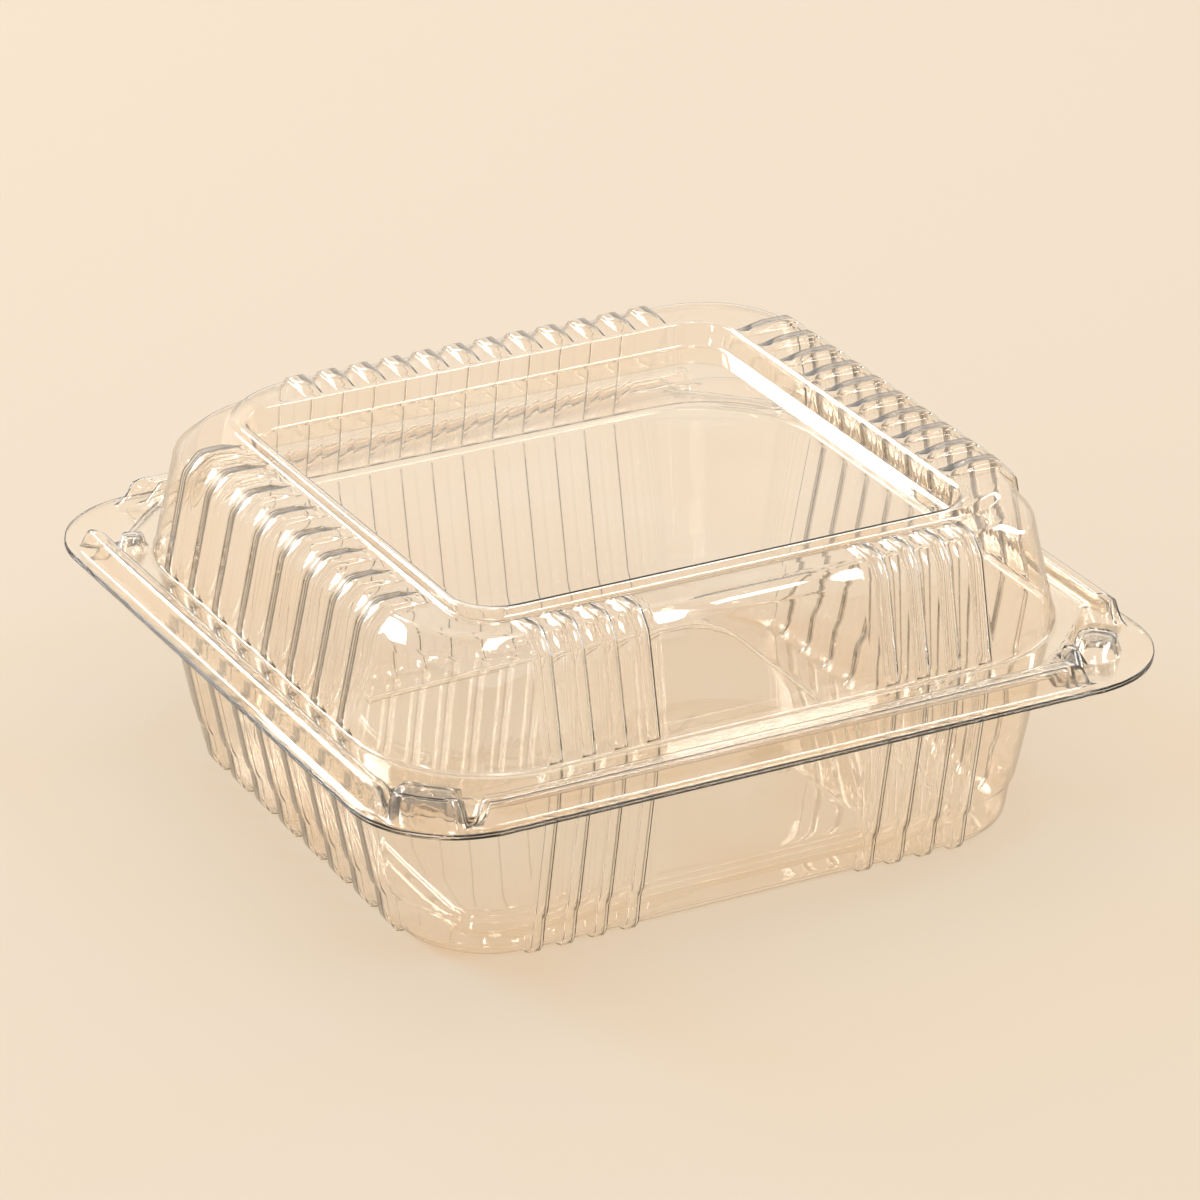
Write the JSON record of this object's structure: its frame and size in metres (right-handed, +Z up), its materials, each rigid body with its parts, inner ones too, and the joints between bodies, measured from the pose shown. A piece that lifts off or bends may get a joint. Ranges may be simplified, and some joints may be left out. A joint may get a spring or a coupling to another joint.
{
  "type": "hinged food container",
  "caption": "clear hinged food container with a ribbed tray, a ribbed domed lid with a sunk top panel, a flat lip round both and corner snaps",
  "frame": {"origin": "on the table under the middle of the tray", "axes": "X runs along the front from left to right, Y runs from the front to the fold at the back, Z is up"},
  "size_m": [0.18, 0.18, 0.0745],
  "materials": {
    "clear_pet": "clear gloss thermoformed sheet"
  },
  "bodies": {
    "tray": {"base_tray": "clear_pet"},
    "cover": {"lid": "clear_pet"}
  },
  "joints": [
    {"name": "lid_fold", "type": "hinge", "parent": "tray", "child": "cover", "pos_m": [0, 0.09035, 0.0426], "axis": [-1, 0, 0], "range_deg": [0, 180]}
  ]
}
